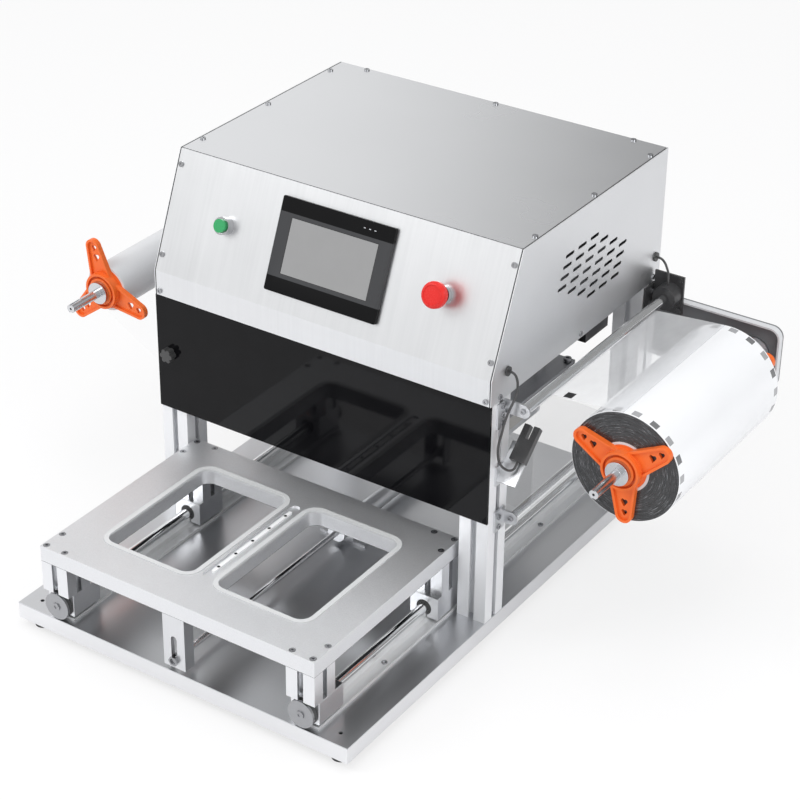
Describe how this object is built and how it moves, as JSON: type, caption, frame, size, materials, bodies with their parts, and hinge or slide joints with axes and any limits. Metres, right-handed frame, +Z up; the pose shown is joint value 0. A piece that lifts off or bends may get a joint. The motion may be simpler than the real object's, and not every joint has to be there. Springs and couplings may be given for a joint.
{
  "type": "tray sealer",
  "caption": "Table-top tray sealer with a pull-out tray drawer, a heated press head under a vented sheet housing, and a film unwinder and rewinder at its sides.",
  "frame": {"origin": "the floor point under the centre of the base pan, midway between the four feet", "axes": "+X to the operator's right, +Y from the operator to the rear, the way the drawer goes in, +Z up"},
  "size_m": [1.1289, 0.956, 0.65],
  "materials": {
    "base_sheet": "brushed stainless sheet",
    "foot_rubber": "matt moulded rubber",
    "rail_aluminium": "satin extruded",
    "rail_steel": "ground and hard chromed",
    "stop_steel": "turned steel",
    "bumper_rubber": "matt rubber",
    "profile_aluminium": "clear anodised extrusion",
    "plate_aluminium": "milled",
    "bush_bronze": "turned bronze",
    "cylinder_aluminium": "anodised tube",
    "housing_sheet": "fine silver powder coat",
    "screw_steel": "stainless screw heads",
    "hmi_plastic": "fine grained bezel",
    "screen_glass": "dark display glass",
    "ring_chrome": "bright ring",
    "guard_acrylic": "polished black acrylic",
    "bracket_steel": "plated steel",
    "carrier_sheet": "silver powder coat",
    "bearing_aluminium": "turned",
    "motor_paint": "satin black",
    "sensor_plastic": "moulded",
    "cable_sheath": "soft sheath",
    "fitting_plastic": "moulded",
    "module_plastic": "moulded",
    "block_aluminium": "anodised",
    "seal_rubber": "moulded seal",
    "tray_aluminium": "blasted and anodised",
    "gasket_silicone": "white silicone",
    "strip_plastic": "milled white plastic",
    "bolt_steel": "socket screws",
    "bracket_sheet": "folded stainless sheet",
    "rod_chrome": "hard chromed rod",
    "insulation_board": "pressed heat-proof board",
    "heater_aluminium": "milled, heat-dulled",
    "mould_aluminium": "milled",
    "green_plastic": "lit green cap",
    "stem_plastic": "moulded",
    "red_plastic": "polished red",
    "knob_plastic": "moulded",
    "roller_steel": "ground steel",
    "shaft_steel": "turned steel",
    "orange_plastic": "moulded orange nylon",
    "core_board": "wound board tube",
    "film_wound": "tightly wound film",
    "film_clear": "clear lidding film"
  },
  "bodies": {
    "machine_frame": {"base_pan": "base_sheet", "base_feet": "foot_rubber", "rail_supports": "rail_aluminium", "rail_rods": "rail_steel", "rail_stops": "stop_steel", "rail_bumpers": "bumper_rubber", "main_posts": "profile_aluminium", "head_beam": "plate_aluminium", "guide_bushes": "bush_bronze", "press_cylinder": "cylinder_aluminium", "drawer_cylinder": "cylinder_aluminium", "side_panels": "housing_sheet", "front_panel": "housing_sheet", "top_panel": "housing_sheet", "rear_panel": "housing_sheet", "frame_screws": "screw_steel", "hmi_case": "hmi_plastic", "hmi_screen": "screen_glass", "button_rings": "ring_chrome", "guard_panel": "guard_acrylic", "side_brackets": "bracket_steel", "roll_carriers": "carrier_sheet", "shaft_bearings": "bearing_aluminium", "rewind_motor": "motor_paint", "film_sensors": "sensor_plastic", "sensor_cable": "cable_sheath", "encoder_cable": "cable_sheath", "panel_fittings": "fitting_plastic", "control_modules": "module_plastic", "valve_manifold": "sensor_plastic", "film_web": "film_clear"},
    "drawer": {"bearing_blocks": "block_aluminium", "block_seals": "seal_rubber", "carriage_posts": "profile_aluminium", "tray_plate": "tray_aluminium", "pocket_gaskets": "gasket_silicone", "gas_strip": "strip_plastic", "carriage_screws": "bolt_steel", "drive_bracket": "bracket_sheet", "drawer_rod": "rod_chrome"},
    "press_head": {"press_rod": "rod_chrome", "guide_rods": "rod_chrome", "head_plate": "plate_aluminium", "insulation_board": "insulation_board", "heater_block": "heater_aluminium", "seal_moulds": "mould_aluminium"},
    "unwind_roll": {"unwind_spindle": "shaft_steel", "unwind_chucks": "orange_plastic", "unwind_core": "core_board", "film_roll": "film_wound"},
    "rewind_roll": {"rewind_spindle": "shaft_steel", "rewind_chucks": "orange_plastic", "rewind_core": "core_board"},
    "upper_roller": {"upper_roller": "roller_steel"},
    "right_roller": {"right_roller": "roller_steel"},
    "left_roller": {"left_roller": "roller_steel"},
    "start_button": {"start_cap": "green_plastic"},
    "stop_plunger": {"stop_stem": "stem_plastic"},
    "stop_mushroom": {"stop_head": "red_plastic"},
    "guard_star": {"guard_knob": "knob_plastic"}
  },
  "joints": [
    {"name": "drawer_slide", "type": "slide", "parent": "machine_frame", "child": "drawer", "axis": [0, 1, 0], "range_m": [0, 0.4]},
    {"name": "press_stroke", "type": "slide", "parent": "machine_frame", "child": "press_head", "axis": [0, 0, -1], "range_m": [0, 0.045], "deforming": ["film_web"]},
    {"name": "unwind_turn", "type": "hinge", "parent": "machine_frame", "child": "unwind_roll", "pos_m": [0.487, 0, 0.346], "axis": [0, 1, 0], "continuous": true},
    {"name": "rewind_turn", "type": "hinge", "parent": "machine_frame", "child": "rewind_roll", "pos_m": [-0.487, 0, 0.346], "axis": [0, 1, 0], "continuous": true},
    {"name": "upper_roller_turn", "type": "hinge", "parent": "machine_frame", "child": "upper_roller", "pos_m": [0.343, 0, 0.413], "axis": [0, 1, 0], "continuous": true},
    {"name": "right_roller_turn", "type": "hinge", "parent": "machine_frame", "child": "right_roller", "pos_m": [0.326, 0, 0.2185], "axis": [0, 1, 0], "continuous": true},
    {"name": "left_roller_turn", "type": "hinge", "parent": "machine_frame", "child": "left_roller", "pos_m": [-0.326, 0, 0.2185], "axis": [0, 1, 0], "continuous": true},
    {"name": "start_press", "type": "slide", "parent": "machine_frame", "child": "start_button", "axis": [0, 0.9225, -0.3859], "range_m": [0, 0.003], "stiffness_N_per_m": 400, "springref_m": -0.002},
    {"name": "stop_press", "type": "slide", "parent": "machine_frame", "child": "stop_plunger", "axis": [0, 0.9225, -0.3859], "range_m": [0, 0.004], "stiffness_N_per_m": 400, "springref_m": -0.003},
    {"name": "stop_twist", "type": "hinge", "parent": "stop_plunger", "child": "stop_mushroom", "pos_m": [0.201, -0.0555, 0.56715], "axis": [0, 0.9225, -0.3859], "range_deg": [0, 30], "stiffness_Nm_per_rad": 0.02, "springref_deg": -5.73},
    {"name": "guard_knob_turn", "type": "hinge", "parent": "machine_frame", "child": "guard_star", "pos_m": [-0.285, -0.08, 0.325], "axis": [0, 1, 0], "continuous": true}
  ],
  "couplings": [
    {"joint": "upper_roller_turn", "follows": "unwind_turn", "ratio": 10.639},
    {"joint": "right_roller_turn", "follows": "unwind_turn", "ratio": -10.639},
    {"joint": "left_roller_turn", "follows": "unwind_turn", "ratio": -10.639},
    {"joint": "rewind_turn", "follows": "unwind_turn", "ratio": -2.1911}
  ]
}
